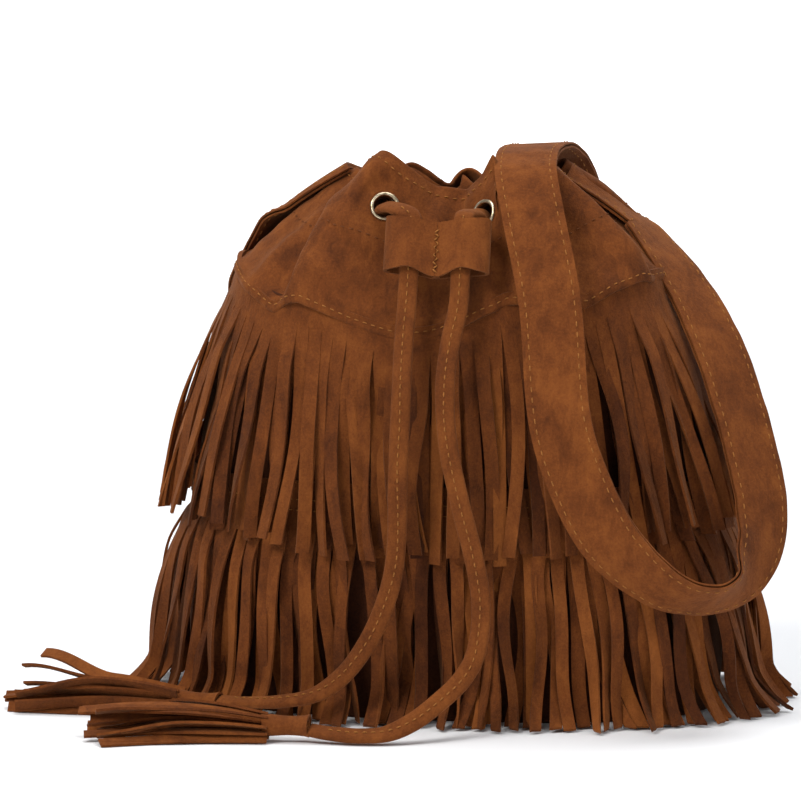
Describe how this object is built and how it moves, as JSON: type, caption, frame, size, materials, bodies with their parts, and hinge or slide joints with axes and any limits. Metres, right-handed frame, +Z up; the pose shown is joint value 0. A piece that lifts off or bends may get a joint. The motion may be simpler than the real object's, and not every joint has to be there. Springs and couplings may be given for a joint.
{
  "type": "fringed suede drawstring bag",
  "caption": "Soft suede bucket bag with two tiers of cut fringe, a gathered mouth closed by a drawstring with keeper and tassels, and a wide stitched shoulder strap.",
  "frame": {"origin": "middle of the flat base panel, on the surface that the bag stands on", "axes": "+X towards the side where the strap comes down in front (the bag's left, the viewer's right), +Y towards the back, +Z up out of the mouth"},
  "size_m": [0.3756, 0.277, 0.2706],
  "materials": {
    "suede": "brushed suede, tan",
    "fringe_suede": "brushed suede, light tan",
    "shell_suede": "suede, dark brown",
    "lining_cloth": "plain woven cloth, dark brown",
    "old_brass": "pale antique brass"
  },
  "bodies": {
    "bag": {"base_panel": "shell_suede", "body_shell": "shell_suede", "drawstring_in_hem": "fringe_suede", "drawstring_left": "fringe_suede", "drawstring_right": "fringe_suede", "eyelet_left": "old_brass", "eyelet_right": "old_brass", "eyelet_washer_left": "old_brass", "eyelet_washer_right": "old_brass", "fringe_lower": "fringe_suede", "fringe_upper": "fringe_suede", "hem_facing": "suede", "lining": "lining_cloth", "strap_inner_ply": "suede", "strap_outer_ply": "suede", "tassel_left": "fringe_suede", "tassel_right": "fringe_suede", "yoke": "suede"},
    "cord_keeper": {"cord_keeper": "fringe_suede"}
  },
  "joints": [
    {"name": "keeper_slide", "type": "slide", "parent": "bag", "child": "cord_keeper", "axis": [0, -0.342, -0.9397], "range_m": [0, 0.016]}
  ]
}
